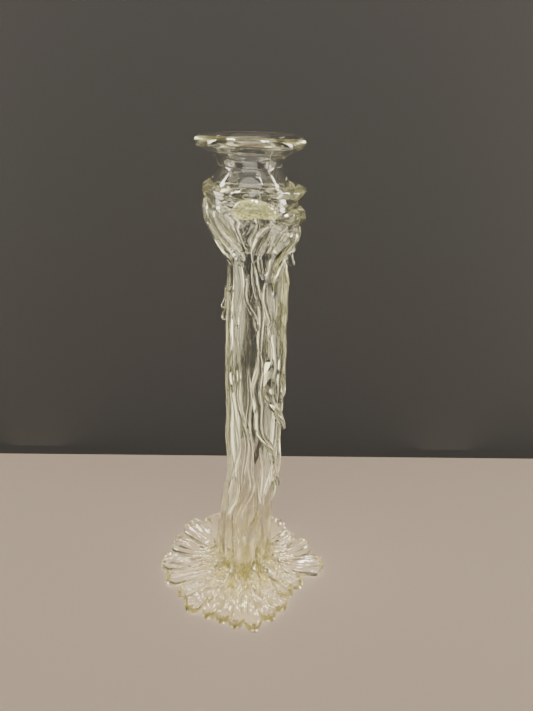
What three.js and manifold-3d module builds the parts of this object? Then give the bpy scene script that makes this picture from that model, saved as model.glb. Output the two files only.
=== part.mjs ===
// Glass bud vase, worked hot by hand: a blown vessel with a flared saucer rim and a hollow column,
// dressed with collar folds, running trails and drips, and standing on a foot of pulled petals.
// Millimetres, +Z up. The front faces -Y. The vase stands on z = 0, centred on its own outline.

import * as THREE from 'three';
import { mergeVertices } from 'three/addons/utils/BufferGeometryUtils.js';
import Module from 'manifold-3d';

const wasm = await Module();
wasm.setup();

// ---- Driving dimensions ----

const HEIGHT = 304;
const GAP = 0.3; // left between two pieces of glass that touch on the real vase

const COLUMN_RADIUS = 16;
const BULB_RADIUS = 22;
const WAIST_RADIUS = 16.4;
const WAIST_HEIGHT = 289;
const SAUCER_RADIUS = 25.4; // to the middle of the rounded lip
const LIP_RADIUS = 2.9;
const WALL = 3.3;
const NECK_BORE_RADIUS = 13.3;

const FLARE_TOP = 36; // the trails start to run out over the foot here
const FLARE_RADIUS = 28;
const VESSEL_BASE = 9.3;
const CAVITY_FLOOR = 24;

const HUB_HEIGHT = VESSEL_BASE - GAP;
const PETAL_START = COLUMN_RADIUS + 1.3 * GAP;
const PETAL_TIP_THICKNESS = 5.6;

const WRAP_BOTTOM = 249; // the wrap of glass round the shoulder
const WRAP_TOP = 281;
const WRAP_THICKNESS = 2.2;

const LEAN = 5; // the middle of the column stands this far towards +X

const ROUND_STEPS = 24;

// ---- Glass colours ----

const clearGlass = { color: 0xeef0e2, roughness: 0.05, metalness: 0, transparent: true, opacity: 0.4 };
const thickGlass = { color: 0xe4e8cc, roughness: 0.06, metalness: 0, transparent: true, opacity: 0.45 };
const footGlass = { color: 0xeceede, roughness: 0.07, metalness: 0, transparent: true, opacity: 0.45 };

const vase = new THREE.Group();

// ---- Shape of the glass ----

const { clamp, degToRad, lerp, smoothstep } = THREE.MathUtils;

// Sideways offset of the hand-drawn column at height z.
function lean(z) {
  return LEAN * smoothstep(z, 60, 100) * (1 - smoothstep(z, 225, 290));
}

// Outer radius of the vessel from its base to the waist.
function outerRadius(z) {
  if (z > 275) {
    const climb = (z - 275) / (WAIST_HEIGHT - 275);
    return lerp(BULB_RADIUS, WAIST_RADIUS, climb ** 1.9);
  }
  return lerp(COLUMN_RADIUS, BULB_RADIUS, smoothstep(z, 236, 272));
}

// How far the wrap lifts things off the shoulder. It has a rolled upper edge and fades out beyond.
function wrapThickness(z) {
  const start = smoothstep(z, WRAP_BOTTOM - 7, WRAP_BOTTOM + 9);
  const end = 1 - smoothstep(z, WRAP_TOP - 3, WRAP_TOP + 4);
  const roll = Math.exp(-(((z - WRAP_TOP + 3.5) / 2.4) ** 2));
  return WRAP_THICKNESS * start * end + roll;
}

// Distance from the axis and height of a point lifted off the vessel's outside. The station is the
// height on the column, and below FLARE_TOP it goes on along the arc of the foot's mound.
function beside(station, lift) {
  if (station >= FLARE_TOP) {
    return { radius: outerRadius(station) + wrapThickness(station) + lift, z: station };
  }
  const turn = (FLARE_TOP - station) / FLARE_RADIUS;
  const arm = FLARE_RADIUS - lift;
  return {
    radius: COLUMN_RADIUS + FLARE_RADIUS - arm * Math.cos(turn),
    z: FLARE_TOP - arm * Math.sin(turn),
  };
}

// The same point, turned about the axis by an angle from the front towards +X.
function onVessel(angle, station, lift) {
  const { radius, z } = beside(station, lift);
  return new THREE.Vector3(lean(z) + radius * Math.sin(angle), -radius * Math.cos(angle), z);
}

// Value at t of a list spread evenly from 0 to 1.
function along(list, t) {
  const place = clamp(t, 0, 1) * (list.length - 1);
  const index = Math.min(Math.floor(place), list.length - 2);
  return lerp(list[index], list[index + 1], place - index);
}

// Rounds the two ends of a piece: 1 in the middle, falling on a quarter circle at each end.
function roundedEnds(t, startShare, endShare) {
  const start = clamp(1 - t / startShare, 0, 1);
  const end = clamp(1 - (1 - t) / endShare, 0, 1);
  return Math.max(0.3, Math.sqrt(1 - start * start) * Math.sqrt(1 - end * end));
}

// A closed lump: a subdivided box whose points place(t, side, level) moves, where t runs from 0 to
// 1 along the piece, side from -1 to 1 across it and level is 0 underneath and 1 on top.
function lump(steps, sides, place) {
  const box = new THREE.BoxGeometry(1, 1, 1, steps, sides, 1);
  box.deleteAttribute('normal');
  box.deleteAttribute('uv');
  const geometry = mergeVertices(box);
  const position = geometry.attributes.position;
  for (let i = 0; i < position.count; i += 1) {
    const point = place(position.getX(i) + 0.5, 2 * position.getY(i), position.getZ(i) + 0.5);
    position.setXYZ(i, point.x, point.y, point.z);
  }
  return geometry;
}

// ---- Cutting pieces clear of each other ----

function toSolid(geometry) {
  const vertProperties = new Float32Array(geometry.attributes.position.array);
  const triVerts = new Uint32Array(geometry.index.array);
  return new wasm.Manifold(new wasm.Mesh({ numProp: 3, vertProperties, triVerts }));
}

function toGeometry(solid) {
  const mesh = solid.getMesh();
  const geometry = new THREE.BufferGeometry();
  geometry.setAttribute('position', new THREE.BufferAttribute(mesh.vertProperties, 3));
  geometry.setIndex(new THREE.BufferAttribute(mesh.triVerts, 1));
  return geometry;
}

function largestBody(solid) {
  const bodies = solid.decompose();
  bodies.sort((a, b) => b.volume() - a.volume());
  return bodies[0];
}

function addMesh(name, geometry, glass) {
  const mesh = new THREE.Mesh(geometry, new THREE.MeshStandardMaterial(glass));
  mesh.name = name;
  vase.add(mesh);
}

// ---- Vessel: saucer rim, neck, bulb and hollow column in one blown piece ----

function vesselProfile() {
  const points = [new THREE.Vector2(0, VESSEL_BASE), new THREE.Vector2(13.2, VESSEL_BASE)];
  points.push(new THREE.Vector2(15.2, 10.6), new THREE.Vector2(COLUMN_RADIUS, 13.5));
  const levels = [60, 70, 80, 90, 100, 160, 226, 233, 240, 247, 254, 261, 268, 275, 279, 283, 286, 289];
  for (const z of levels) {
    points.push(new THREE.Vector2(outerRadius(z), z));
  }
  points.push(new THREE.Vector2(17.6, 292.6), new THREE.Vector2(20.6, 295.6));
  points.push(new THREE.Vector2(24.2, 297.8));
  for (let i = 0; i <= 5; i += 1) {
    const turn = -0.95 + i * 0.64;
    const radius = SAUCER_RADIUS + LIP_RADIUS * Math.cos(turn);
    points.push(new THREE.Vector2(radius, HEIGHT - LIP_RADIUS + LIP_RADIUS * Math.sin(turn)));
  }
  points.push(new THREE.Vector2(20.2, 299.6), new THREE.Vector2(16.2, 296.4));
  points.push(new THREE.Vector2(NECK_BORE_RADIUS, 290.8), new THREE.Vector2(14.6, 285.6));
  for (const z of [279, 270, 261, 252, 243, 232, 160, 100, 38]) {
    points.push(new THREE.Vector2(outerRadius(z) - WALL, z));
  }
  points.push(new THREE.Vector2(10.4, 28), new THREE.Vector2(5.6, CAVITY_FLOOR + 0.8));
  points.push(new THREE.Vector2(0, CAVITY_FLOOR));
  return points;
}

// A turned piece that follows the lean of the column.
function turned(profile) {
  const lathe = new THREE.LatheGeometry(profile, ROUND_STEPS);
  lathe.rotateX(Math.PI / 2);
  lathe.deleteAttribute('normal');
  lathe.deleteAttribute('uv');
  const geometry = mergeVertices(lathe);
  const position = geometry.attributes.position;
  for (let i = 0; i < position.count; i += 1) {
    position.setX(i, position.getX(i) + lean(position.getZ(i)));
  }
  return geometry;
}

// ---- Wrap: a sheet of glass round the shoulder, under the folds ----

function wrapProfile() {
  const outside = [];
  const inside = [];
  const rows = 8;
  for (let i = 0; i <= rows; i += 1) {
    const z = lerp(WRAP_BOTTOM, WRAP_TOP, i / rows);
    outside.push(new THREE.Vector2(outerRadius(z) + Math.max(GAP + 0.5, wrapThickness(z)), z));
    inside.unshift(new THREE.Vector2(outerRadius(z) + GAP, z));
  }
  return [...outside, ...inside, outside[0].clone()];
}

// ---- Ribbons: gathers of hot glass laid on the vessel ----

// path holds [degrees from the front, station] points from the top down. width, rise and lift are
// spread evenly along it: how broad and thick the ribbon is, and how far it stands off the vessel.
// rounding is the share of its length that each end takes to round off. grow swells the ribbon on
// every side, which makes the tool that cuts a neighbour clear of it.
function ribbon(piece, grow = 0) {
  const { path, width, rise, lift = [0, 0], steps = 10, sides = 3, rounding = [0.16, 0.1] } = piece;
  const points = path.map(
    ([degrees, station]) => new THREE.Vector3(degToRad(degrees) * COLUMN_RADIUS, station, 0),
  );
  const curve = new THREE.CatmullRomCurve3(points, false, 'centripetal');
  return lump(steps, sides, (t, side, level) => {
    const centre = curve.getPointAt(t);
    const run = curve.getTangentAt(t);
    const ends = roundedEnds(t, ...rounding);
    const across = side * ((along(width, t) * ends) / 2 + grow);
    const overrun = (2 * t - 1) * grow;
    const station = centre.y + run.x * across + run.y * overrun;
    const angle = centre.x / COLUMN_RADIUS
      + (run.x * overrun - run.y * across) / beside(station, 0).radius;
    const crown = along(rise, t) * ends * Math.sqrt(1.06 - side * side);
    return onVessel(angle, station, GAP + along(lift, t) + (level ? crown + grow : -grow));
  });
}

// Small threads and drips first: each later ribbon is cut clear of the ones before it.
const ribbons = [
  {
    name: 'thread_front',
    path: [[-21, 234], [-16, 222], [-6, 213], [3, 204]],
    width: [2.2, 2.2, 2.4, 3.2],
    rise: [1.6, 1.8, 2.8],
    lift: [0, 0, 0.8],
    steps: 8,
    sides: 2,
  },
  {
    name: 'loop_front',
    path: [[6, 249], [8, 240], [14, 235], [22, 237], [28, 245]],
    width: [2.6, 2.8, 2.6],
    rise: [2.4, 2.8, 2.4],
    steps: 10,
    sides: 2,
  },
  {
    name: 'drip_left_upper',
    path: [[-84, 226], [-88, 218], [-92, 211]],
    width: [3, 2.2, 3.4],
    rise: [2, 2.2, 3],
    lift: [0, 0, 1.6],
    steps: 6,
    sides: 2,
  },
  {
    name: 'drip_left_lower',
    path: [[-72, 224], [-77, 214], [-80, 205]],
    width: [3, 2.2, 3.4],
    rise: [2, 2.2, 3],
    lift: [0, 0, 1.2],
    steps: 6,
    sides: 2,
  },
  {
    name: 'drip_right_upper',
    path: [[84, 256], [88, 250], [93, 244]],
    width: [4, 3, 2.6],
    rise: [3, 3, 2.4],
    lift: [0, 0.6, 2.6],
    steps: 6,
    sides: 2,
  },
  {
    name: 'drip_right_lower',
    path: [[104, 250], [101, 243], [98, 236]],
    width: [4, 3, 2.4],
    rise: [3, 3, 2.4],
    lift: [0, 1, 3.6],
    steps: 6,
    sides: 2,
  },

  // Knots and folds on the wrap. The left ones run down and to the right.
  {
    name: 'collar_lens_front',
    path: [[-24, 268], [-4, 271], [16, 270], [34, 267]],
    width: [7, 9.6, 9, 6],
    rise: [1.2, 2.2, 2.2, 1.2],
    rounding: [0.4, 0.4],
    steps: 8,
  },
  {
    name: 'collar_knot_right_upper',
    path: [[58, 277], [74, 276.5], [92, 276], [112, 274]],
    width: [6, 8.4, 9, 6],
    rise: [1.6, 3, 3.8, 2],
    lift: [0.2, 0.3, 0.3, 0.2],
    rounding: [0.25, 0.25],
    steps: 8,
  },
  {
    name: 'collar_knot_right',
    path: [[32, 266], [52, 265], [76, 266], [104, 264]],
    width: [5, 9, 12, 8],
    rise: [1.8, 3.4, 4.8, 3],
    rounding: [0.2, 0.25],
  },
  {
    name: 'collar_fold_far_left',
    path: [[-108, 272], [-88, 264], [-68, 253], [-52, 239]],
    width: [7, 10, 8, 4],
    rise: [1.4, 2.6, 2.6, 1.6],
  },
  {
    name: 'collar_fold_left',
    path: [[-84, 273], [-66, 265], [-50, 255], [-38, 243]],
    width: [6, 9, 8, 3.6],
    rise: [1.2, 2.4, 2.4, 1.6],
  },
  {
    name: 'collar_fold_front_left',
    path: [[-56, 269], [-42, 262], [-30, 254], [-22, 243]],
    width: [5, 7, 6.4, 3.4],
    rise: [1, 2, 2, 1.4],
  },
  {
    name: 'collar_fold_front',
    path: [[24, 263], [14, 259], [4, 252], [-3, 243]],
    width: [6, 8, 7, 3.6],
    rise: [1.6, 2.6, 2.4, 1.6],
  },
  {
    name: 'collar_sweep_right',
    path: [[98, 260], [80, 256], [58, 247], [42, 235], [36, 222]],
    width: [8, 10, 9, 6.6, 4],
    rise: [3, 4.2, 3.8, 3, 2],
    steps: 12,
  },
  {
    name: 'collar_fold_right',
    path: [[50, 259], [38, 254], [32, 247]],
    width: [6, 7, 4],
    rise: [2.4, 2.8, 1.8],
    steps: 7,
  },

  // Drapes on the right: broad sheets that come off the column in long drips.
  {
    name: 'drape_right_upper',
    path: [[72, 247], [64, 232], [67, 210], [74, 185], [83, 166], [88, 153]],
    width: [6, 11, 12, 10, 6, 2.6],
    rise: [2.6, 3, 3, 2.8, 2.6, 2],
    lift: [0, 0, 0, 0, 0.4, 1.8],
    steps: 14,
  },
  {
    name: 'drape_right_middle',
    path: [[37, 214], [33, 194], [35, 176], [44, 158], [62, 144], [80, 131]],
    width: [4, 7.6, 9.6, 9, 6, 2.6],
    rise: [2, 2.6, 3, 3, 2.8, 2.2],
    lift: [0, 0, 0, 0, 0.8, 3.4],
    steps: 14,
  },
  {
    name: 'drape_right_lower',
    path: [[6, 193], [8, 175], [6, 158], [10, 146], [24, 133], [42, 117], [60, 102], [74, 87]],
    width: [3.6, 5.6, 6, 5.6, 5, 5, 4.4, 2.8],
    rise: [2.2, 2.8, 2.8, 2.6, 2.8, 2.8, 2.8, 2.4],
    lift: [0, 0, 0, 0, 0, 0, 0.6, 2.6],
    steps: 16,
  },

  // Trails down the front and the left.
  {
    name: 'trail_front_upper',
    path: [[-6, 244], [1, 228], [6, 214], [9, 202], [9, 189]],
    width: [3, 4, 4, 3.4, 2.4],
    rise: [2, 2.2, 2.2, 2],
  },
  {
    name: 'trail_front_right',
    path: [[17, 232], [19, 222], [24, 208], [27, 197]],
    width: [3, 4, 3.6, 2],
    rise: [1.6, 2, 1.6],
    steps: 8,
  },
  {
    name: 'trail_left_upper',
    path: [[-32, 243], [-37, 231], [-39, 217], [-41, 203]],
    width: [3.4, 2.8, 2.4, 3.2],
    rise: [2, 1.8, 2.4],
    steps: 8,
    sides: 2,
  },
  {
    name: 'trail_front_lower',
    path: [[-12, 182], [-12, 158], [-8, 135], [-3, 110], [-7, 86], [-12, 60], [-10, 30], [-6, 6]],
    width: [2.6, 3.4, 3.6, 4.4, 5, 6, 7, 6],
    rise: [1.8, 2.2, 2.2, 2.4, 2.6, 3, 3.4, 2.8],
    steps: 16,
  },
  {
    name: 'trail_left_diagonal',
    path: [[-47, 206], [-40, 184], [-30, 160], [-21, 138], [-17, 116], [-22, 92]],
    width: [2.6, 3.8, 4, 4, 3.4, 2.2],
    rise: [1.6, 2.2, 2.4, 2.2, 1.8],
    steps: 14,
  },
  {
    name: 'trail_left_inner',
    path: [[-60, 198], [-53, 176], [-46, 156], [-39, 134], [-34, 108], [-36, 78], [-38, 44], [-34, 6]],
    width: [2.6, 4, 4, 4, 4.4, 6, 8, 7],
    rise: [1.6, 2.2, 2.4, 2.4, 2.4, 2.8, 3.4, 2.8],
    steps: 16,
  },
  {
    name: 'trail_left_outer',
    path: [[-66, 240], [-74, 205], [-73, 170], [-68, 130], [-62, 90], [-66, 54], [-66, 6]],
    width: [4, 5.6, 6.6, 6.4, 7, 8.4, 7],
    rise: [1.8, 2, 2.4, 2.4, 2.8, 3.4, 2.8],
    steps: 18,
  },
  {
    name: 'trail_front_base',
    path: [[14, 126], [25, 108], [26, 80], [20, 44], [22, 6]],
    width: [2.4, 5, 6.4, 8, 7],
    rise: [1.8, 2.4, 2.8, 3.4, 2.8],
    steps: 12,
  },
  {
    name: 'trail_right_base',
    path: [[58, 94], [54, 72], [52, 44], [56, 6]],
    width: [3, 6.6, 8.6, 7.4],
    rise: [1.8, 2.6, 3.4, 2.8],
    steps: 9,
  },
  {
    name: 'trail_right_outer',
    path: [[104, 226], [100, 190], [98, 150], [95, 112], [90, 76], [88, 44], [90, 6]],
    width: [4, 6.6, 7, 7, 7.4, 9, 7.6],
    rise: [2, 2.2, 2.4, 2.4, 2.8, 3.4, 2.8],
    steps: 18,
  },
];

// Folds on the back of the wrap lean the same way as the ones on the left.
const BACK_FOLDS = 3;
for (let i = 0; i < BACK_FOLDS; i += 1) {
  const degrees = 128 + 42 * i;
  ribbons.push({
    name: `collar_fold_back_${i + 1}`,
    path: [[degrees, 273], [degrees + 14, 266], [degrees + 26, 255], [degrees + 32, 242]],
    width: [8, 13, 12, 5],
    rise: [1.6, 3.2 - 0.4 * (i % 2), 3, 1.8],
  });
}

// Trails on the back run the whole way down, each one a little different from the next.
const BACK_TRAILS = 5;
for (let i = 0; i < BACK_TRAILS; i += 1) {
  const degrees = 127 + 29 * i;
  const sway = 5 * Math.sin(2.1 * i + 0.6);
  ribbons.push({
    name: `trail_back_${i + 1}`,
    path: [
      [degrees + sway, 238 - 6 * (i % 3)],
      [degrees - sway, 190],
      [degrees + sway / 2, 140],
      [degrees, 90],
      [degrees, 50],
      [degrees, 6],
    ],
    width: [4, 6.8, 6.4, 6.8, 8.6, 7.6],
    rise: [2, 2.4, 2.4, 2.6, 3.4, 2.8],
    steps: 18,
  });
}

// ---- Foot: a hub under the column and a ring of pulled petals ----

function footHub() {
  const hub = new THREE.CylinderGeometry(COLUMN_RADIUS, COLUMN_RADIUS, HUB_HEIGHT, ROUND_STEPS);
  hub.rotateX(Math.PI / 2);
  hub.translate(0, 0, HUB_HEIGHT / 2);
  return hub;
}

// Height of the foot's mound at a distance from the axis, on the arc that the trails follow.
function moundHeight(radius) {
  const inward = Math.max(0, COLUMN_RADIUS + FLARE_RADIUS - radius);
  return FLARE_TOP - Math.sqrt(FLARE_RADIUS ** 2 - inward ** 2);
}

// Each petal: [degrees from the front, reach from the axis, broadest width, lift of its tip].
const petals = [
  [-6, 47, 11.5, 0.6],
  [10, 49.5, 11, 0],
  [26, 46, 11.5, 1],
  [43, 43.5, 12, 0.4],
  [59, 41, 10, 1.4],
  [75, 45, 10.5, 0.6],
  [94, 61, 17, 2],
  [114, 57, 15, 3],
  [131, 54, 13, 1.6],
  [149, 59, 16, 3],
  [168, 55, 14.5, 2],
  [187, 56, 15, 3.4],
  [207, 62, 16, 2.4],
  [225, 65, 16.5, 3.6],
  [244, 62, 17, 2],
  [262, 62.5, 15.5, 1],
  [279, 57, 12.5, 2.4],
  [295, 50, 11.5, 0.6],
  [311, 51, 13, 1.4],
  [327, 46, 11.5, 0.4],
  [341, 45.5, 11, 1.2],
];

// Angle from one petal to the next one round the foot, walking by step (1 or -1).
function angleToNeighbour(index, step) {
  const next = petals[(index + step + petals.length) % petals.length][0];
  const turn = THREE.MathUtils.euclideanModulo(step * (next - petals[index][0]), 360);
  return degToRad(turn);
}

function petal(index) {
  const [degrees, reach, width, tipLift] = petals[index];
  const angle = degToRad(degrees);
  const room = { left: angleToNeighbour(index, -1) / 2, right: angleToNeighbour(index, 1) / 2 };
  return lump(9, 4, (t, side, level) => {
    const out = lerp(PETAL_START, reach, t ** 1.5);
    const ends = roundedEnds(t, 0.001, 0.2);
    const share = side < 0 ? room.left : room.right;
    const half = Math.min((width / 2) * ends, out * Math.sin(share) - GAP / 2);
    const top = moundHeight(out) - GAP;
    const thickness = lerp(top, PETAL_TIP_THICKNESS, smoothstep(t, 0.55, 1));
    const crown = thickness * (0.72 + 0.28 * Math.sqrt(1 - side * side));
    const under = tipLift * smoothstep(t, 0.5, 1);
    return new THREE.Vector3(
      out * Math.sin(angle) + side * half * Math.cos(angle),
      -out * Math.cos(angle) + side * half * Math.sin(angle),
      under + (level ? crown * Math.min(1, ends + 0.35) : 0),
    );
  });
}

// ---- Assembly ----

addMesh('vessel_body', turned(vesselProfile()), clearGlass);
addMesh('collar_wrap', turned(wrapProfile()), thickGlass);

const cutters = [];
for (const piece of ribbons) {
  let solid = toSolid(ribbon(piece));
  for (const cutter of cutters) {
    solid = solid.subtract(cutter);
  }
  cutters.push(toSolid(ribbon(piece, GAP)));
  addMesh(piece.name, toGeometry(largestBody(solid)), thickGlass);
}

addMesh('foot_hub', footHub(), footGlass);
petals.forEach((_, index) => {
  addMesh(`petal_${String(index + 1).padStart(2, '0')}`, petal(index), footGlass);
});

// Centre the vase on its outline, standing on z = 0.
const outline = new THREE.Box3().setFromObject(vase);
const middle = outline.getCenter(new THREE.Vector3());
vase.position.set(-middle.x, -middle.y, -outline.min.z);

export default vase;
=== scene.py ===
"""Glass bud vase: the looks of the hand-worked glass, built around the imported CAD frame.

Shapes are worked out in millimetres about the vessel's own axis and placed in metres at the end.
Every CAD node is replaced by one finely shaped piece of clear glass in the same place.
"""

import math

import bpy
import numpy as np
from mathutils import Matrix, Vector


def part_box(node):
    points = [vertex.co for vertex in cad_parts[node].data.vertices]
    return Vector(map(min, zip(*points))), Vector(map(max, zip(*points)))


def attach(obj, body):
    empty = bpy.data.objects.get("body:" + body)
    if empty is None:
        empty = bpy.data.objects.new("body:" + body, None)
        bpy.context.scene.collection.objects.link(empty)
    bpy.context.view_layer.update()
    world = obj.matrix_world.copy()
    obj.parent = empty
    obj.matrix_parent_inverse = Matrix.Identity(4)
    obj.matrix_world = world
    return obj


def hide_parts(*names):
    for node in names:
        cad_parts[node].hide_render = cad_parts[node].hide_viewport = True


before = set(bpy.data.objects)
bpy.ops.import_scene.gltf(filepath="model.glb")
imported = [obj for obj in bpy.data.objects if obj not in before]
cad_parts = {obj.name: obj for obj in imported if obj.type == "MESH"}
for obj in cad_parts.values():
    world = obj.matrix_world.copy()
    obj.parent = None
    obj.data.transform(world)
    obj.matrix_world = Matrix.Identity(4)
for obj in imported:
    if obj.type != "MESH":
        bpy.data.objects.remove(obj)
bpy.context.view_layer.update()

# ---- Driving dimensions, in millimetres ----

MM = 0.001
vessel_low, vessel_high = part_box("vessel_body")
AXIS = (vessel_low + vessel_high) / 2
HEIGHT = vessel_high.z / MM

COLUMN_RADIUS = 16
BULB_RADIUS = 22
WAIST_RADIUS = 16.4
WAIST_HEIGHT = 289
SAUCER_RADIUS = 25.4
LIP_RADIUS = 2.9
WALL = 3.3
NECK_BORE_RADIUS = 13.3
FLARE_TOP = 36
FLARE_RADIUS = 28
VESSEL_BASE = 9.3
CAVITY_FLOOR = 24
PETAL_TIP_THICKNESS = 5.6
WRAP_BOTTOM = 249
WRAP_TOP = 281
WRAP_THICKNESS = 2.2
LEAN = 5

SINK = 0.55  # how far a gather is melted into the glass that it lies on
FLUTE_SLOPE = 0.38  # how steep the sides of the flutes along a broad gather are
UNEVEN_WIDTH = 0.07  # how much a gather's width changes along it, as a share
UNEVEN_RISE = 0.08  # the same for its height
SKEW = 0.25  # how far a gather's crest leans to one side
WANDER = 1.9  # how far a gather strays from its path
BASE_CRUMPLE = 1.5  # depth of the crumpled glass where the gathers meet the foot
RIBBON_SIDES = 40

PETAL_STEPS = 64
PETAL_FLUTE = 2.1
PETAL_SWELL = 0.5
PETAL_RIM = 0.8  # height of the bead round a petal's edge
HUB_CRUMPLE = 1.3  # depth of the crumpled glass round the column's base

COLUMN_SIDES = 144
WRAP_SIDES = 180
SEED_COUNT = 34  # small air bubbles scattered through the column

# ---- Shared shape of the glass, the same formulas as the CAD part ----


def smoothstep(x, low, high):
    t = np.clip((np.asarray(x, float) - low) / (high - low), 0, 1)
    return t * t * (3 - 2 * t)


def lerp(a, b, t):
    return a + (b - a) * t


def lean(z):
    """Sideways offset of the column at height z."""
    return LEAN * smoothstep(z, 60, 100) * (1 - smoothstep(z, 225, 290))


def outer_radius(z):
    z = np.asarray(z, float)
    lower = lerp(COLUMN_RADIUS, BULB_RADIUS, smoothstep(z, 236, 272))
    climb = np.clip((z - 275) / (WAIST_HEIGHT - 275), 0, 1)
    return np.where(z > 275, lerp(BULB_RADIUS, WAIST_RADIUS, climb**1.9), lower)


def wrap_thickness(z):
    """How far the wrap lifts things off the shoulder: a sheet with a rolled upper edge."""
    start = smoothstep(z, WRAP_BOTTOM - 7, WRAP_BOTTOM + 9)
    end = 1 - smoothstep(z, WRAP_TOP - 3, WRAP_TOP + 4)
    roll = np.exp(-(((z - WRAP_TOP + 3.5) / 2.4) ** 2))
    return WRAP_THICKNESS * start * end + roll


def beside(station, lift):
    """Distance from the axis and height of a point lifted off the vessel or the foot's mound."""
    turn = np.maximum(0, FLARE_TOP - station) / FLARE_RADIUS
    arm = FLARE_RADIUS - lift
    on_arc = station < FLARE_TOP
    on_wall = outer_radius(station) + wrap_thickness(station) + lift
    radius = np.where(on_arc, COLUMN_RADIUS + FLARE_RADIUS - arm * np.cos(turn), on_wall)
    return radius, np.where(on_arc, FLARE_TOP - arm * np.sin(turn), station)


def on_vessel(angle, station, lift):
    radius, z = beside(station, lift)
    return np.stack([lean(z) + radius * np.sin(angle), -radius * np.cos(angle), z], axis=-1)


def mound_height(radius):
    inward = np.maximum(0, COLUMN_RADIUS + FLARE_RADIUS - radius)
    return FLARE_TOP - np.sqrt(FLARE_RADIUS**2 - inward**2)


def along(values, t):
    """Value at t of a list spread evenly from 0 to 1, eased between its entries."""
    place = np.clip(t, 0, 1) * (len(values) - 1)
    index = np.minimum(place.astype(int), len(values) - 2)
    part = smoothstep(place - index, 0, 1)
    values = np.asarray(values, float)
    return lerp(values[index], values[index + 1], part)


def rounded_ends(t, start_share, end_share):
    start = np.clip(1 - t / start_share, 0, 1)
    end = np.clip(1 - (1 - t) / end_share, 0, 1)
    return np.sqrt(1 - start**2) * np.sqrt(1 - end**2)


def smooth_path(points, spacing):
    """Evenly spaced points on a Catmull-Rom curve, their directions and the curve's length."""
    points = np.asarray(points, float)
    knots = np.vstack([2 * points[0] - points[1], points, 2 * points[-1] - points[-2]])
    t = np.linspace(0, 1, 40, endpoint=False)[:, None]
    dense = []
    for a, b, c, d in zip(knots, knots[1:], knots[2:], knots[3:]):
        bend = (2 * a - 5 * b + 4 * c - d) * t**2 + (3 * b - a - 3 * c + d) * t**3
        dense.append(0.5 * (2 * b + (c - a) * t + bend))
    dense = np.vstack([*dense, points[-1:]])
    walked = np.concatenate([[0], np.cumsum(np.linalg.norm(np.diff(dense, axis=0), axis=1))])
    even = np.linspace(0, walked[-1], max(30, round(walked[-1] / spacing)))
    places = np.stack([np.interp(even, walked, dense[:, k]) for k in (0, 1)], axis=-1)
    runs = np.gradient(places, axis=0)
    return places, runs / np.linalg.norm(runs, axis=1)[:, None], walked[-1]


def ripple(u, v, seed, waves=5):
    """Smooth seeded unevenness between about -1 and 1. u and v are in wavelengths."""
    random = np.random.default_rng(seed)
    total = np.zeros(np.broadcast(u, v).shape)
    for _ in range(waves):
        ku, kv = random.uniform(0.5, 1.5, 2) * random.choice([-1, 1], 2)
        total += np.sin(2 * math.pi * (ku * u + kv * v) + random.uniform(0, 2 * math.pi))
    return total / waves**0.5 * 0.8


# ---- Meshes ----


def band_quads(count, around, closed):
    """Faces between rings of points. A closed band also joins its last ring to its first."""
    i, j = np.meshgrid(np.arange(count if closed else count - 1), np.arange(around), indexing="ij")
    next_i, next_j = (i + 1) % count, (j + 1) % around
    corners = [i * around + j, i * around + next_j, next_i * around + next_j, next_i * around + j]
    return np.stack(corners, axis=-1).reshape(-1, 4)


def loft_shell(rings):
    """A closed shell through rings of points, shaped (rings, points, 3), with a point at each end."""
    count, around = rings.shape[:2]
    points = np.vstack([rings.reshape(-1, 3), rings[0].mean(axis=0), rings[-1].mean(axis=0)])
    quads = band_quads(count, around, closed=False)
    k = np.arange(around)
    first, last, end = count * around, count * around + 1, (count - 1) * around
    cap = np.stack([np.full(around, first), (k + 1) % around, k], axis=-1)
    other_cap = np.stack([np.full(around, last), end + k, end + (k + 1) % around], axis=-1)
    triangles = np.vstack([quads[:, [0, 1, 2]], quads[:, [0, 2, 3]], cap, other_cap])
    a, b, c = points[triangles].transpose(1, 0, 2)
    inside_out = np.einsum("ij,ij->", a, np.cross(b, c)) < 0
    faces = quads.tolist() + cap.tolist() + other_cap.tolist()
    return points, [face[::-1] for face in faces] if inside_out else faces


def turned_rings(profile, wobble, around):
    """Rings of points from a profile of (radius, z) points turned about the leaning axis."""
    angle = np.linspace(0, 2 * math.pi, around, endpoint=False)
    radius, z = np.array(profile).T
    radius, z = wobble(radius[:, None], z[:, None], angle[None, :])
    return np.stack([lean(z) + radius * np.sin(angle), -radius * np.cos(angle), z], axis=-1)


def as_drawn(radius, z, angle):
    """No unevenness: the plain turned shape."""
    return radius + 0 * angle, z + 0 * angle


def turned_shell(profile, wobble):
    """A solid of revolution from a profile of (radius, z) points that starts and ends on the axis."""
    points, faces = loft_shell(turned_rings(profile[1:-1], wobble, COLUMN_SIDES))
    points[-2] = [lean(profile[0][1]), 0, profile[0][1]]
    points[-1] = [lean(profile[-1][1]), 0, profile[-1][1]]
    return points, faces


def turned_ring(profile, wobble):
    """A ring of revolution from a closed profile of (radius, z) points, given anticlockwise."""
    rings = turned_rings(profile, wobble, WRAP_SIDES)
    return rings.reshape(-1, 3), band_quads(len(profile), WRAP_SIDES, closed=True).tolist()


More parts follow.
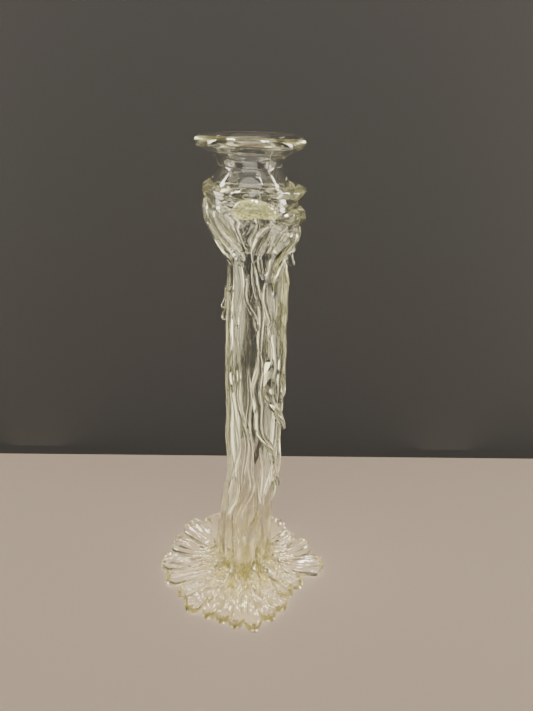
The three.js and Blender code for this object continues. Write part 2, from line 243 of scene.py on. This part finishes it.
def bubble(degrees, station, depth, across, deep, tall):
    """An air bubble in the glass: a small shell that faces inwards."""
    turn = np.linspace(0, math.pi, 12)[1:-1, None]
    angle = np.linspace(0, 2 * math.pi, 18, endpoint=False)[None, :]
    level = np.cos(turn) * np.ones_like(angle) * tall
    sideways = np.sin(turn) * np.cos(angle) * across
    outward = np.sin(turn) * np.sin(angle) * deep
    facing = math.radians(degrees)
    x = sideways * math.cos(facing) + outward * math.sin(facing)
    y = sideways * math.sin(facing) - outward * math.cos(facing)
    centre = on_vessel(facing, np.float64(station), -depth)
    points, faces = loft_shell(np.stack([x, y, level], axis=-1) + centre)
    return points, [face[::-1] for face in faces]


def make_piece(node, shells, material):
    """One Blender object from closed shells, placed on the vase and standing for its CAD node."""
    points, faces = [], []
    for shell_points, shell_faces in shells:
        offset = sum(len(part) for part in points)
        points.append(shell_points)
        faces += [[corner + offset for corner in face] for face in shell_faces]
    placed = np.vstack(points) * MM + np.array([AXIS.x, AXIS.y, 0])
    mesh = bpy.data.meshes.new(f"{node}_glass")
    mesh.from_pydata(placed.tolist(), [], faces)
    mesh.shade_smooth()
    mesh.materials.append(material)
    piece = bpy.data.objects.new(f"{node}_glass", mesh)
    piece.visible_shadow = False  # clear glass passes the light on to the floor
    bpy.context.scene.collection.objects.link(piece)
    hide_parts(node)
    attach(piece, "root")


# ---- Materials ----


def glass(name, tint, density, roughness, wave_size, wave_depth, milk=0, body=(1, 1, 1)):
    """Clear glass with a tint that deepens with thickness and a faint hand-worked waviness."""
    material = bpy.data.materials.new(name)
    material.use_nodes = True
    nodes, links = material.node_tree.nodes, material.node_tree.links
    surface = nodes["Principled BSDF"]
    surface.inputs["Base Color"].default_value = (*body, 1)
    surface.inputs["IOR"].default_value = 1.5
    surface.inputs["Transmission Weight"].default_value = 1 - milk
    place = nodes.new("ShaderNodeTexCoord")
    waves = nodes.new("ShaderNodeTexNoise")
    waves.inputs["Scale"].default_value = 1 / (wave_size * MM)
    waves.inputs["Detail"].default_value = 1
    links.new(place.outputs["Object"], waves.inputs["Vector"])
    bump = nodes.new("ShaderNodeBump")
    bump.inputs["Strength"].default_value = 1
    bump.inputs["Distance"].default_value = wave_depth * MM
    links.new(waves.outputs["Fac"], bump.inputs["Height"])
    links.new(bump.outputs["Normal"], surface.inputs["Normal"])
    sheen = nodes.new("ShaderNodeMapRange")
    sheen.inputs["To Min"].default_value = roughness * 0.4
    sheen.inputs["To Max"].default_value = roughness * 1.6
    links.new(waves.outputs["Fac"], sheen.inputs["Value"])
    links.new(sheen.outputs["Result"], surface.inputs["Roughness"])
    depth = nodes.new("ShaderNodeVolumeAbsorption")
    depth.inputs["Color"].default_value = (*tint, 1)
    depth.inputs["Density"].default_value = density
    links.new(depth.outputs["Volume"], nodes["Material Output"].inputs["Volume"])
    return material


vessel_glass = glass("vessel glass", (0.84, 0.82, 0.38), 14, 0.012, 16, 0.06)
trail_glass = glass("trail glass", (0.84, 0.82, 0.34), 24, 0.012, 11, 0.07)
collar_glass = glass("collar glass", (0.84, 0.83, 0.36), 20, 0.015, 9, 0.12)
lens_glass = glass(
    "pale lens glass", (0.82, 0.86, 0.4), 14, 0.04, 5, 0.9, milk=0.06, body=(0.88, 0.88, 0.55)
)
foot_glass = glass(
    "foot glass", (0.88, 0.88, 0.5), 6.5, 0.02, 7, 0.14, body=(0.98, 0.96, 0.84)
)

# ---- Vessel ----


def arc(centre_radius, centre_z, radius, start, end, count):
    return [
        (centre_radius + radius * math.cos(turn), centre_z + radius * math.sin(turn))
        for turn in np.linspace(start, end, count)
    ]


def curve_through(points, spacing=0.6):
    return [tuple(point) for point in smooth_path(points, spacing)[0]]


def vessel_profile():
    outside = [(float(outer_radius(z)), z) for z in np.linspace(16, 288.6, 230)]
    inside = [(float(outer_radius(z)) - WALL, z) for z in np.linspace(279, 40, 200)]
    lip = arc(SAUCER_RADIUS, HEIGHT - LIP_RADIUS, LIP_RADIUS, -0.9, 2.3, 28)
    under_saucer = [(16.5, 289.3), (17.6, 292.6), (20.6, 295.6), (24.2, 297.8), lip[0]]
    over_saucer = [lip[-1], (20.4, 300), (16.8, 297.2), (14.2, 294), (NECK_BORE_RADIUS, 290.4),
                   (13.9, 287.4), (15.6, 284.4), (17.6, 281.4), inside[0]]
    return [
        (0, VESSEL_BASE),
        *curve_through([(8, VESSEL_BASE), (13.2, VESSEL_BASE), (15.4, 11.2), (16, 15)]),
        *outside,
        *curve_through(under_saucer)[:-1],
        *lip,
        *curve_through(over_saucer)[1:-1],
        *inside,
        *curve_through([(12.7, 38), (11.6, 30), (8, 25.8), (3, CAVITY_FLOOR)]),
        (0, CAVITY_FLOOR),
    ]


def hand_blown(radius, z, angle):
    """Slight unevenness, long soft strands down the column and a rim that dips."""
    below_waist = (1 - smoothstep(z, 276, 286)) * smoothstep(radius, 2, 10)
    slow = 0.18 * np.sin(2 * angle + z / 41)
    on_column = smoothstep(z, 50, 90) * (1 - smoothstep(z, 240, 252))
    outer = smoothstep(radius - outer_radius(z), -1.6, -0.4)
    drift = 0.5 * np.sin(z / 33) + 0.3 * np.sin(z / 17 + 1)
    strands = np.cos(5 * angle + 2.4 * drift) + 0.4 * np.cos(9 * angle - 3 * drift + 2)
    uneven = (slow + 0.1 * strands * on_column * outer) * below_waist
    rim = smoothstep(z, 294, 298)
    dip = rim * (0.35 * np.cos(2 * angle + 0.6) + 0.2 * np.cos(3 * angle)) * radius / 28
    return radius + uneven + rim * 0.25 * np.cos(2 * angle), z + dip - 0.5 * rim


random = np.random.default_rng(7)
seeds = [bubble(-2 + 1.3 * k, 222 - 2.6 * k, 1.5, 0.3, 0.3, 0.45 + 0.1 * (k % 3)) for k in range(5)]
for _ in range(SEED_COUNT):
    size, stretch = random.uniform(0.14, 0.4), random.uniform(1, 2.4)
    place = random.uniform(-180, 180), random.uniform(50, 240), random.uniform(0.9, 2.2)
    seeds.append(bubble(*place, size, size, size * stretch))

make_piece(
    "vessel_body", [turned_shell(vessel_profile(), hand_blown), *seeds], vessel_glass
)

# ---- Wrap round the shoulder ----


def wrap_profile():
    heights = np.linspace(WRAP_BOTTOM - 1, WRAP_TOP - 0.6, 60)
    bead = 0.8 * np.exp(-(((heights - WRAP_TOP + 1.9) / 1.1) ** 2))
    sheet = np.maximum(0.5, wrap_thickness(heights)) + bead
    outside = list(zip(outer_radius(heights) + sheet, heights))
    top = (float(outer_radius(WRAP_TOP)) + 0.5, WRAP_TOP)
    inside = [(float(outer_radius(z)) - SINK, z) for z in heights[::-1]]
    return [*outside, top, *inside]


def hand_wrapped(radius, z, angle):
    """Soft swellings, and strokes that run round the upper edge and sink to the right."""
    above = radius - outer_radius(z)
    shown = smoothstep(above, 0.3, 1)
    swell = 0.45 * np.sin(5 * angle + z / 7) * np.sin(z / 9 + 2 * np.sin(angle))
    strokes = 0.28 * np.sin(2 * math.pi * (z + 4 * angle) / 4.6 + 1.2 * np.sin(3 * angle))
    near_top = smoothstep(z, 262, 270) * (1 - smoothstep(z, 277, 279.5))
    lift = 0.5 * np.sin(3 * angle + 1) + 0.25 * np.sin(7 * angle + 2)
    return radius + shown * (swell + strokes * near_top), z + lift * smoothstep(z, 270, 281)


ring_bubble = bubble(4, 277.4, 1.2, 3.6, 0.7, 2.3)
wrap_seeds = [bubble(-30 + 14 * k, 258 + 5 * (k % 3), 1.2, 0.35, 0.3, 0.4) for k in range(6)]
make_piece(
    "collar_wrap",
    [turned_ring(wrap_profile(), hand_wrapped), ring_bubble, *wrap_seeds],
    collar_glass,
)

# ---- Ribbons: gathers of hot glass laid on the vessel ----


def ribbon_shell(piece, seed):
    """One gather: a rounded loft along its path, fluted where it is broad, melted in by SINK."""
    points = [(math.radians(degrees) * COLUMN_RADIUS, station) for degrees, station in piece["path"]]
    places, runs, length = smooth_path(points, 0.8)
    t = np.linspace(0, 1, len(places))[:, None]
    turn = np.linspace(0, 2 * math.pi, RIBBON_SIDES, endpoint=False)[None, :]
    ends = np.maximum(rounded_ends(t, *piece.get("rounding", (0.16, 0.1))), 0.02)
    uneven = piece.get("uneven", UNEVEN_WIDTH)
    half = along(piece["width"], t) / 2 * ends * (1 + uneven * ripple(t * length / 26, 0, seed))
    rise = along(piece["rise"], t) * ends * (1 + UNEVEN_RISE * ripple(t * length / 21, 0, seed + 1))
    lift = along(piece.get("lift", (0, 0)), t)
    side = np.cos(turn)
    wander = WANDER * ripple(t * length / 50, 0, seed + 5, 3) * np.sin(math.pi * t)
    across = side * half + wander
    place_z = places[:, 1:2]
    hump = np.maximum(0, 1 - side**2)
    skew = SKEW * ripple(t * length / 45, 0, seed + 2, 3)
    flutes = piece.get("flutes", round(max(piece["width"]) / 6))
    depth = FLUTE_SLOPE * half / (math.pi * flutes) if flutes > 1 else 0
    drift = 1.3 * ripple(t * length / 34, 0, seed + 3, 3)
    fluting = np.cos(math.pi * (flutes * (side + 1) - 1) + drift)
    above = rise * hump ** piece.get("shape", 0.7) * (1 + skew * side) + depth * fluting * hump
    low = 1 - smoothstep(place_z, 18, 42)
    crumple = BASE_CRUMPLE * ripple(t * length / 5, across / 4, seed + 4, 6) * low
    above = above + crumple * hump
    free = smoothstep(lift, 0.3, 1.4)
    below = -lerp(SINK, 0.75 * rise, free) * hump ** lerp(1, 0.5, free)
    height = lift + np.where(np.sin(turn) >= 0, np.maximum(above, -SINK * 0.5), below)
    run_x, run_y = runs[:, 0:1], runs[:, 1:2]
    station = place_z + run_x * across
    angle = places[:, 0:1] / COLUMN_RADIUS - run_y * across / beside(place_z, 0)[0]
    return loft_shell(on_vessel(angle, station, height))


ribbons = [
    {
        "name": "thread_front",
        "path": [(-21, 234), (-16, 222), (-6, 213), (3, 204)],
        "width": [2.2, 2.2, 2.4, 3.2],
        "rise": [1.6, 1.8, 2.8],
        "lift": [0, 0, 0.8],
    },
    {
        "name": "loop_front",
        "path": [(6, 249), (8, 240), (14, 235), (22, 237), (28, 245)],
        "width": [2.6, 2.8, 2.6],
        "rise": [2.4, 2.8, 2.4],
    },
    {
        "name": "drip_left_upper",
        "path": [(-84, 226), (-88, 218), (-92, 211)],
        "width": [3, 2.2, 3.4],
        "rise": [2, 2.2, 3],
        "lift": [0, 0, 1.6],
    },
    {
        "name": "drip_left_lower",
        "path": [(-72, 224), (-77, 214), (-80, 205)],
        "width": [3, 2.2, 3.4],
        "rise": [2, 2.2, 3],
        "lift": [0, 0, 1.2],
    },
    {
        "name": "drip_right_upper",
        "path": [(84, 256), (88, 250), (93, 244)],
        "width": [4, 3, 2.6],
        "rise": [3, 3, 2.4],
        "lift": [0, 0.6, 2.6],
    },
    {
        "name": "drip_right_lower",
        "path": [(104, 250), (101, 243), (98, 236)],
        "width": [4, 3, 2.4],
        "rise": [3, 3, 2.4],
        "lift": [0, 1, 3.6],
    },

    # Knots and folds on the wrap. The left ones run down and to the right.
    {
        "name": "collar_lens_front",
        "path": [(-24, 268), (-4, 271), (16, 270), (34, 267)],
        "width": [7, 9.6, 9, 6],
        "rise": [1.2, 2.2, 2.2, 1.2],
        "rounding": (0.4, 0.4),
    },
    {
        "name": "collar_knot_right_upper",
        "path": [(58, 277), (74, 276.5), (92, 276), (112, 274)],
        "width": [6, 8.4, 9, 6],
        "rise": [1.6, 3, 3.8, 2],
        "lift": [0.2, 0.3, 0.3, 0.2],
        "rounding": (0.25, 0.25),
    },
    {
        "name": "collar_knot_right",
        "path": [(32, 266), (52, 265), (76, 266), (104, 264)],
        "width": [5, 9, 12, 8],
        "rise": [1.8, 3.4, 4.8, 3],
        "rounding": (0.2, 0.25),
    },
    {
        "name": "collar_fold_far_left",
        "path": [(-108, 272), (-88, 264), (-68, 253), (-52, 239)],
        "width": [7, 10, 8, 4],
        "rise": [1.4, 2.6, 2.6, 1.6],
    },
    {
        "name": "collar_fold_left",
        "path": [(-84, 273), (-66, 265), (-50, 255), (-38, 243)],
        "width": [6, 9, 8, 3.6],
        "rise": [1.2, 2.4, 2.4, 1.6],
    },
    {
        "name": "collar_fold_front_left",
        "path": [(-56, 269), (-42, 262), (-30, 254), (-22, 243)],
        "width": [5, 7, 6.4, 3.4],
        "rise": [1, 2, 2, 1.4],
    },
    {
        "name": "collar_fold_front",
        "path": [(24, 263), (14, 259), (4, 252), (-3, 243)],
        "width": [6, 8, 7, 3.6],
        "rise": [1.6, 2.6, 2.4, 1.6],
    },
    {
        "name": "collar_sweep_right",
        "path": [(98, 260), (80, 256), (58, 247), (42, 235), (36, 222)],
        "width": [8, 10, 9, 6.6, 4],
        "rise": [3, 4.2, 3.8, 3, 2],
    },
    {
        "name": "collar_fold_right",
        "path": [(50, 259), (38, 254), (32, 247)],
        "width": [6, 7, 4],
        "rise": [2.4, 2.8, 1.8],
    },

    # Drapes on the right: broad sheets that come off the column in long drips.
    {
        "name": "drape_right_upper",
        "path": [(72, 247), (64, 232), (67, 210), (74, 185), (83, 166), (88, 153)],
        "width": [6, 11, 12, 10, 6, 2.6],
        "rise": [2.6, 3, 3, 2.8, 2.6, 2],
        "lift": [0, 0, 0, 0, 0.4, 1.8],
    },
    {
        "name": "drape_right_middle",
        "path": [(37, 214), (33, 194), (35, 176), (44, 158), (62, 144), (80, 131)],
        "width": [4, 7.6, 9.6, 9, 6, 2.6],
        "rise": [2, 2.6, 3, 3, 2.8, 2.2],
        "lift": [0, 0, 0, 0, 0.8, 3.4],
    },
    {
        "name": "drape_right_lower",
        "path": [(6, 193), (8, 175), (6, 158), (10, 146), (24, 133), (42, 117), (60, 102), (74, 87)],
        "width": [3.6, 5.6, 6, 5.6, 5, 5, 4.4, 2.8],
        "rise": [2.2, 2.8, 2.8, 2.6, 2.8, 2.8, 2.8, 2.4],
        "lift": [0, 0, 0, 0, 0, 0, 0.6, 2.6],
    },

    # Trails down the front and the left.
    {
        "name": "trail_front_upper",
        "path": [(-6, 244), (1, 228), (6, 214), (9, 202), (9, 189)],
        "width": [3, 4, 4, 3.4, 2.4],
        "rise": [2, 2.2, 2.2, 2],
    },
    {
        "name": "trail_front_right",
        "path": [(17, 232), (19, 222), (24, 208), (27, 197)],
        "width": [3, 4, 3.6, 2],
        "rise": [1.6, 2, 1.6],
    },
    {
        "name": "trail_left_upper",
        "path": [(-32, 243), (-37, 231), (-39, 217), (-41, 203)],
        "width": [3.4, 2.8, 2.4, 3.2],
        "rise": [2, 1.8, 2.4],
    },
    {
        "name": "trail_front_lower",
        "path": [(-12, 182), (-12, 158), (-8, 135), (-3, 110), (-7, 86), (-12, 60), (-10, 30), (-6, 6)],
        "width": [2.6, 3.4, 3.6, 4.4, 5, 6, 7, 6],
        "rise": [1.8, 2.2, 2.2, 2.4, 2.6, 3, 3.4, 2.8],
    },
    {
        "name": "trail_left_diagonal",
        "path": [(-47, 206), (-40, 184), (-30, 160), (-21, 138), (-17, 116), (-22, 92)],
        "width": [2.6, 3.8, 4, 4, 3.4, 2.2],
        "rise": [1.6, 2.2, 2.4, 2.2, 1.8],
    },
    {
        "name": "trail_left_inner",
        "path": [(-60, 198), (-53, 176), (-46, 156), (-39, 134), (-34, 108), (-36, 78), (-38, 44), (-34, 6)],
        "width": [2.6, 4, 4, 4, 4.4, 6, 8, 7],
        "rise": [1.6, 2.2, 2.4, 2.4, 2.4, 2.8, 3.4, 2.8],
    },
    {
        "name": "trail_left_outer",
        "path": [(-66, 240), (-74, 205), (-73, 170), (-68, 130), (-62, 90), (-66, 54), (-66, 6)],
        "width": [4, 5.6, 6.6, 6.4, 7, 8.4, 7],
        "rise": [1.8, 2, 2.4, 2.4, 2.8, 3.4, 2.8],
    },
    {
        "name": "trail_front_base",
        "path": [(14, 126), (25, 108), (26, 80), (20, 44), (22, 6)],
        "width": [2.4, 5, 6.4, 8, 7],
        "rise": [1.8, 2.4, 2.8, 3.4, 2.8],
    },
    {
        "name": "trail_right_base",
        "path": [(58, 94), (54, 72), (52, 44), (56, 6)],
        "width": [3, 6.6, 8.6, 7.4],
        "rise": [1.8, 2.6, 3.4, 2.8],
    },
    {
        "name": "trail_right_outer",
        "path": [(104, 226), (100, 190), (98, 150), (95, 112), (90, 76), (88, 44), (90, 6)],
        "width": [4, 6.6, 7, 7, 7.4, 9, 7.6],
        "rise": [2, 2.2, 2.4, 2.4, 2.8, 3.4, 2.8],
    },
]

for i in range(3):
    degrees = 128 + 42 * i
    ribbons.append(
        {
            "name": f"collar_fold_back_{i + 1}",
            "path": [(degrees, 273), (degrees + 14, 266), (degrees + 26, 255), (degrees + 32, 242)],
            "width": [8, 13, 12, 5],
            "rise": [1.6, 3.2 - 0.4 * (i % 2), 3, 1.8],
        }
    )

for i in range(5):
    degrees = 127 + 29 * i
    sway = 5 * math.sin(2.1 * i + 0.6)
    ribbons.append(
        {
            "name": f"trail_back_{i + 1}",
            "path": [(degrees + sway, 238 - 6 * (i % 3)), (degrees - sway, 190),
                     (degrees + sway / 2, 140), (degrees, 90), (degrees, 50), (degrees, 6)],
            "width": [4, 8.4, 8, 8.4, 9, 7.6],
            "rise": [0.6, 0.8, 0.8, 1.2, 3.2, 2.8],
            "shape": 1.6,
        }
    )

for number, piece in enumerate(ribbons):
    if piece["name"].startswith(("drape", "trail")):
        piece = {"flutes": 0, "shape": 1.1, **piece}
    material = collar_glass if piece["name"].startswith("collar") else trail_glass
    if piece["name"] == "collar_lens_front":
        material = lens_glass
        piece = {**piece, "flutes": 3, "uneven": 0.2}
    make_piece(piece["name"], [ribbon_shell(piece, 100 + 10 * number)], material)

# ---- Foot ----


def hub_shell():
    """The solid disc under the vessel, with a shallow hollow beneath and a rounded edge."""
    base = [
        (0, 0.9),
        *curve_through([(3, 0.8), (6, 0.35), (9, 0.02), (13, 0), (16.2, 0.5), (16.9, 2)]),
        *curve_through([(16.9, 2), (16.9, 6), (16.4, VESSEL_BASE), (13, VESSEL_BASE + 0.5)])[1:],
        (0, VESSEL_BASE + 0.5),
    ]
    return turned_shell(base, as_drawn)


make_piece("foot_hub", [hub_shell()], foot_glass)

# Each petal: degrees from the front, reach from the axis, broadest width, lift of its tip.
petals = [
    (-6, 47, 11.5, 0.6),
    (10, 49.5, 11, 0),
    (26, 46, 11.5, 1),
    (43, 43.5, 12, 0.4),
    (59, 41, 10, 1.4),
    (75, 45, 10.5, 0.6),
    (94, 61, 17, 2),
    (114, 57, 15, 3),
    (131, 54, 13, 1.6),
    (149, 59, 16, 3),
    (168, 55, 14.5, 2),
    (187, 56, 15, 3.4),
    (207, 62, 16, 2.4),
    (225, 65, 16.5, 3.6),
    (244, 62, 17, 2),
    (262, 62.5, 15.5, 1),
    (279, 57, 12.5, 2.4),
    (295, 50, 11.5, 0.6),
    (311, 51, 13, 1.4),
    (327, 46, 11.5, 0.4),
    (341, 45.5, 11, 1.2),
]


def petal_shell(index):
    """One petal from the column out to its tip, fluted along it and scalloped at the end."""
    degrees, reach, width, tip_lift = petals[index]
    before = petals[index - 1][0]
    after = petals[(index + 1) % len(petals)][0]
    room_before = math.radians((degrees - before) % 360 / 2)
    room_after = math.radians((after - degrees) % 360 / 2)
    t = np.linspace(0, 1, PETAL_STEPS)[:, None]
    turn = np.linspace(0, 2 * math.pi, PETAL_STEPS, endpoint=False)[None, :]
    side = np.cos(turn)
    seed = 500 + 10 * index
    lobes = 3 if width < 13 else 4
    drift = 0.5 * ripple(1.5 * t, 0, seed, 3)
    lobe = 0.5 + 0.5 * np.cos(math.pi * (lobes * (side + 1) - 1) + drift)
    start = COLUMN_RADIUS - 1
    out = start + (reach - start - 2.2 * (1 - lobe) * t**5) * t**1.5
    out = np.minimum(out, reach)
    ends = np.maximum(rounded_ends(t, 0.001, 0.11), 0.03)
    ends[0] = 1
    room = np.where(side < 0, room_before, room_after)
    half = np.minimum(0.56 * width * ends, out * np.sin(room) + 0.5)
    top = mound_height(out) + 0.1
    thickness = lerp(top, PETAL_TIP_THICKNESS, smoothstep(t, 0.55, 1))
    crest = 0.66 + 0.34 * np.sqrt(np.maximum(0, 1 - side**2))
    inward = 1 - np.abs(side)
    rim = np.exp(-(((inward - 0.1) / 0.08) ** 2)) + np.exp(-(((1 - t - 0.05) / 0.035) ** 2))
    bead = PETAL_RIM * np.minimum(1, rim) * smoothstep(t, 0.3, 0.6)
    flute = PETAL_FLUTE * (lobe - 0.5) * smoothstep(t, 0.15, 0.6)
    swell = PETAL_SWELL * ripple(side * half / 9, t * 1.6, seed + 1, 4) * smoothstep(t, 0.2, 0.5)
    angle = math.radians(degrees)
    x = out * math.sin(angle) + side * half * math.cos(angle)
    y = -out * math.cos(angle) + side * half * math.sin(angle)
    crumple = HUB_CRUMPLE * ripple(x / 5, y / 5, 77, 7) * (1 - smoothstep(out, 23, 31))
    above = thickness * crest + (flute + swell) * (1 - side**4) + bead
    above = above * np.minimum(1, ends + 0.2) + crumple
    under = tip_lift * smoothstep(t, 0.5, 1)
    z = under + np.where(np.sin(turn) >= 0, above, 0.35 * thickness * side**6)
    return loft_shell(np.stack([x, y, z], axis=-1))


for index in range(len(petals)):
    make_piece(f"petal_{index + 1:02d}", [petal_shell(index)], foot_glass)

# ---- Camera, at the photograph's viewing angle ----


CAMERA_DISTANCE = 0.2877  # in front of the vase's axis, in metres
CAMERA_HEIGHT = 0.3206
PAN_DEGREES, PITCH_DEGREES, ROLL_DEGREES = 2.36, 25.8, 2.0
LENS, SENSOR = 27.04, 36


def camera():
    """Looks down on the vase from a little above its rim, turned slightly right and rolled slightly."""
    pan, pitch, roll = (math.radians(turn) for turn in (PAN_DEGREES, PITCH_DEGREES, ROLL_DEGREES))
    forward = Vector((math.sin(pan) * math.cos(pitch), math.cos(pan) * math.cos(pitch), -math.sin(pitch)))
    right = Vector((math.cos(pan), -math.sin(pan), 0))
    up = right.cross(forward)
    tilted_right = right * math.cos(roll) + up * math.sin(roll)
    tilted_up = up * math.cos(roll) - right * math.sin(roll)
    data = bpy.data.cameras.new("camera")
    data.sensor_width = SENSOR
    data.lens = LENS
    data.clip_start = 0.01
    view = bpy.data.objects.new("camera", data)
    turned = Matrix((tilted_right, tilted_up, -forward)).transposed().to_4x4()
    place = (AXIS.x, AXIS.y - CAMERA_DISTANCE, CAMERA_HEIGHT)
    view.matrix_world = Matrix.Translation(place) @ turned
    bpy.context.scene.collection.objects.link(view)
    bpy.context.scene.camera = view


camera()

# ---- Floor and studio light, in metres and watts ----

FLOOR_COLOUR = (0.088, 0.072, 0.06)
BACKDROP_COLOUR = (0.0145, 0.0142, 0.015)
HORIZON_COLOUR = (0.05, 0.049, 0.05, 1)
OVERHEAD_COLOUR = (1, 0.94, 0.84, 1)
LAMP_COLOUR = (1, 0.93, 0.79)
CARD_COLOUR = (1, 0.92, 0.6)
AIM_HEIGHT = 0.15
CARD_HEIGHT = 0.01

# Each lamp: name, place, size across and along, power. All of them point at the vase.
LAMPS = (
    ("lamp_right", (0.35, -0.3, 1.2), (0.26, 0.26), 26),
    ("lamp_left", (-0.45, -0.15, 1.2), (0.3, 0.15), 20),
    ("lamp_back", (0.1, 0.5, 1.2), (0.26, 0.26), 6),
    ("front", (0, -1.2, 1.1), (1.6, 1), 20),
    ("tube", (0.3, -0.35, 0.85), (0.02, 0.5), 2),
)
# Each pair stands on both sides of the vase: name, place of the right one, size, power.
SIDE_LAMPS = (
    ("strip", (0.72, -0.06, 0.47), (0.08, 0.8), 8),
    ("wing", (0.5, 0, 0.32), (0.05, 0.4), 1.8),
)
# Each pair of cards lies just above the floor and faces up: name, distance to the side, size, power.
CARDS = (
    ("far_card", 0.56, (0.48, 0.9), 3.9),
    ("middle_card", 0.2, (0.14, 0.3), 0.21),
    ("near_card", 0.105, (0.05, 0.14), 0.03),
)


def stage_piece(name, corners, colour):
    """A flat piece of the studio, with its shader and its material's node tree."""
    mesh = bpy.data.meshes.new(name)
    mesh.from_pydata(corners, [], [range(len(corners))])
    stage = bpy.data.objects.new(name, mesh)
    material = bpy.data.materials.new(name)
    material.use_nodes = True
    surface = material.node_tree.nodes["Principled BSDF"]
    surface.inputs["Roughness"].default_value = 0.95
    surface.inputs["Specular IOR Level"].default_value = 0.2
    surface.inputs["Base Color"].default_value = (*colour, 1)
    mesh.materials.append(material)
    bpy.context.scene.collection.objects.link(stage)
    return stage, surface, material.node_tree


def floor_near():
    """The disc of table top round the vase, the only part of it that shows through the glass."""
    radius, centre_y, sides = 0.15, 0.05, 48
    turns = [2 * math.pi * k / sides for k in range(sides)]
    ring = [(radius * math.cos(turn), centre_y + radius * math.sin(turn), 0) for turn in turns]
    stage_piece("floor_near", ring, FLOOR_COLOUR)


def floor():
    """The whole pale table top, a hair below the disc. It fades away into the dark far from the vase."""
    reach, z = 3, -0.00005
    fade_start, fade_end = 0.6, 2.6
    corners = [(-reach, -reach, z), (reach, -reach, z), (reach, reach, z), (-reach, reach, z)]
    stage, surface, tree = stage_piece("floor", corners, FLOOR_COLOUR)
    stage.visible_transmission = False
    stage.visible_glossy = False
    place = tree.nodes.new("ShaderNodeTexCoord")
    distance = tree.nodes.new("ShaderNodeVectorMath")
    distance.operation = "LENGTH"
    fade = tree.nodes.new("ShaderNodeMapRange")
    fade.interpolation_type = "SMOOTHSTEP"
    fade.inputs["From Min"].default_value = fade_start
    fade.inputs["From Max"].default_value = fade_end
    fade.inputs["To Min"].default_value = 1
    fade.inputs["To Max"].default_value = 0
    tree.links.new(place.outputs["Object"], distance.inputs[0])
    tree.links.new(distance.outputs["Value"], fade.inputs["Value"])
    tree.links.new(fade.outputs["Result"], surface.inputs["Alpha"])


def backdrop():
    """A dark cloth close behind. It only shows from its front, so it never hides the vase."""
    half_width, y, height = 1, 0.142, 1.6
    corners = [(-half_width, y, 0), (half_width, y, 0), (half_width, y, height), (-half_width, y, height)]
    stage, surface, tree = stage_piece("backdrop", corners, BACKDROP_COLOUR)
    stage.visible_shadow = False
    side = tree.nodes.new("ShaderNodeNewGeometry")
    front = tree.nodes.new("ShaderNodeMath")
    front.operation = "SUBTRACT"
    front.inputs[0].default_value = 1
    tree.links.new(side.outputs["Backfacing"], front.inputs[1])
    tree.links.new(front.outputs[0], surface.inputs["Alpha"])


def softbox(name, location, size, power, colour=LAMP_COLOUR, up=False):
    """An oval light that the camera doesn't see. It points at the vase, or straight up."""
    data = bpy.data.lights.new(name, "AREA")
    data.shape = "ELLIPSE"
    data.size, data.size_y = size
    data.energy = power
    data.color = colour
    box = bpy.data.objects.new(name, data)
    box.location = location
    aim = Vector((0, 0, 1)) if up else Vector((AXIS.x, AXIS.y, AIM_HEIGHT)) - Vector(location)
    box.rotation_euler = aim.to_track_quat("-Z", "Y").to_euler()
    box.visible_camera = False
    bpy.context.scene.collection.objects.link(box)


def sky():
    """A plain surround: dark up to 17 degrees above the horizon, then brighter towards the top."""
    world = bpy.data.worlds.new("studio")
    bpy.context.scene.world = world
    world.use_nodes = True
    nodes, links = world.node_tree.nodes, world.node_tree.links
    place = nodes.new("ShaderNodeTexCoord")
    split = nodes.new("ShaderNodeSeparateXYZ")
    height = nodes.new("ShaderNodeMapRange")
    height.interpolation_type = "SMOOTHSTEP"
    height.inputs["From Min"].default_value = 0.3
    height.inputs["From Max"].default_value = 0.95
    shade = nodes.new("ShaderNodeMix")
    shade.data_type = "RGBA"
    shade.inputs["A"].default_value = HORIZON_COLOUR
    shade.inputs["B"].default_value = OVERHEAD_COLOUR
    links.new(place.outputs["Generated"], split.inputs[0])
    links.new(split.outputs["Z"], height.inputs["Value"])
    links.new(height.outputs["Result"], shade.inputs["Factor"])
    links.new(shade.outputs["Result"], nodes["Background"].inputs["Color"])


def studio_lights():
    for lamp in LAMPS:
        softbox(*lamp)
    for side in (-1, 1):
        for name, (x, y, z), size, power in SIDE_LAMPS:
            softbox(f"{name}_{side}", (x * side, y, z), size, power)
        for name, distance, size, power in CARDS:
            place = (distance * side, 0, CARD_HEIGHT)
            softbox(f"{name}_{side}", place, size, power, CARD_COLOUR, up=True)


floor_near()
floor()
backdrop()
sky()
studio_lights()

# Light passes through many layers of glass before it leaves the vase.
cycles = bpy.context.scene.cycles
cycles.max_bounces = 32
cycles.transmission_bounces = 32
cycles.glossy_bounces = 12
